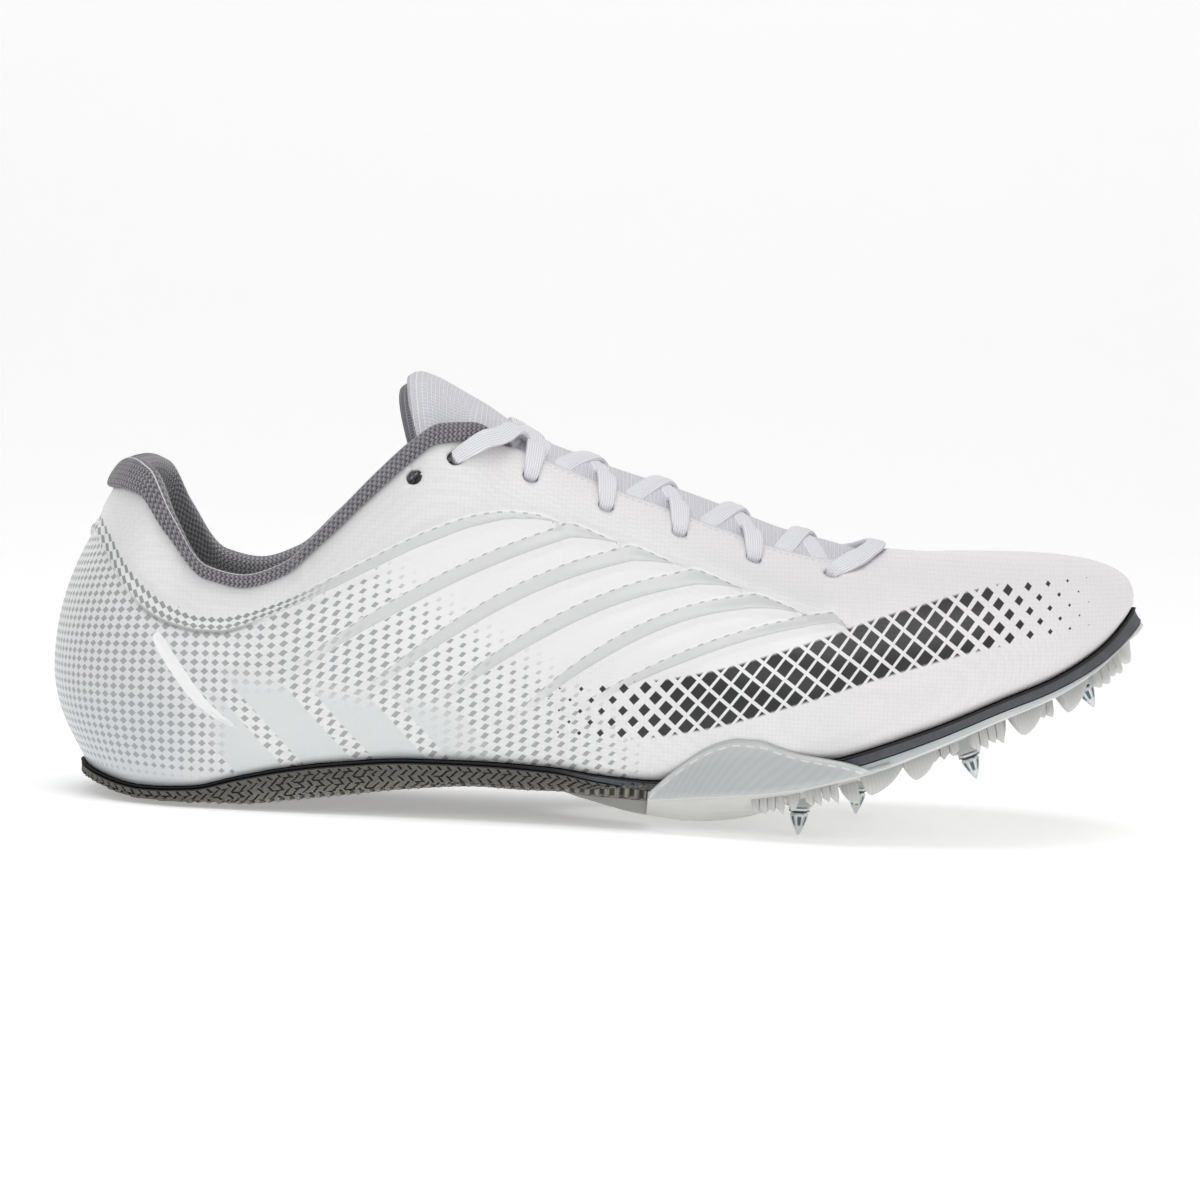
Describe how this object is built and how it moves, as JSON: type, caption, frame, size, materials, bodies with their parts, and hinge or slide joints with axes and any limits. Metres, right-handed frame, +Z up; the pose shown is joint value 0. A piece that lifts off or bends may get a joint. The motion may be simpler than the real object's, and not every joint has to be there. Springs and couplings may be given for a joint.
{
  "type": "track spike shoe",
  "caption": "Low-cut men's right track spike with a white laced upper, frosted spike plate, steel pins and grey rubber heel.",
  "frame": {"origin": "on the floor, on the flat spot of the heel rubber", "axes": "+X to the toe, +Y to the inner side of the foot, +Z up"},
  "size_m": [0.2802, 0.094, 0.1117],
  "materials": {
    "white_film": "white mesh under a glossy film",
    "grey_knit": "dark grey padded knit",
    "white_mesh": "white open mesh",
    "grey_lining": "grey knit",
    "insole_foam": "grey cloth on foam",
    "charcoal_foam": "dark foam with a fine grain",
    "frosted_plate": "frosted clear plastic",
    "grey_rubber": "dark grey rubber",
    "spike_steel": "zinc-plated steel",
    "lace_white": "flat woven cord"
  },
  "bodies": {
    "root": {"upper": "white_film", "collar_lining": "grey_knit", "tongue": "white_mesh", "tongue_lining": "grey_lining", "insole": "insole_foam", "midsole": "charcoal_foam", "spike_plate": "frosted_plate", "heel_outsole": "grey_rubber", "spike_lateral_rear": "spike_steel", "spike_medial_rear": "spike_steel", "spike_lateral_front": "spike_steel", "spike_medial_front": "spike_steel", "spike_toe": "spike_steel", "lace_front_bar": "lace_white", "lace_crossing_front": "lace_white", "lace_crossing_5": "lace_white", "lace_crossing_4": "lace_white", "lace_crossing_3": "lace_white", "lace_crossing_top": "lace_white"}
  },
  "joints": []
}
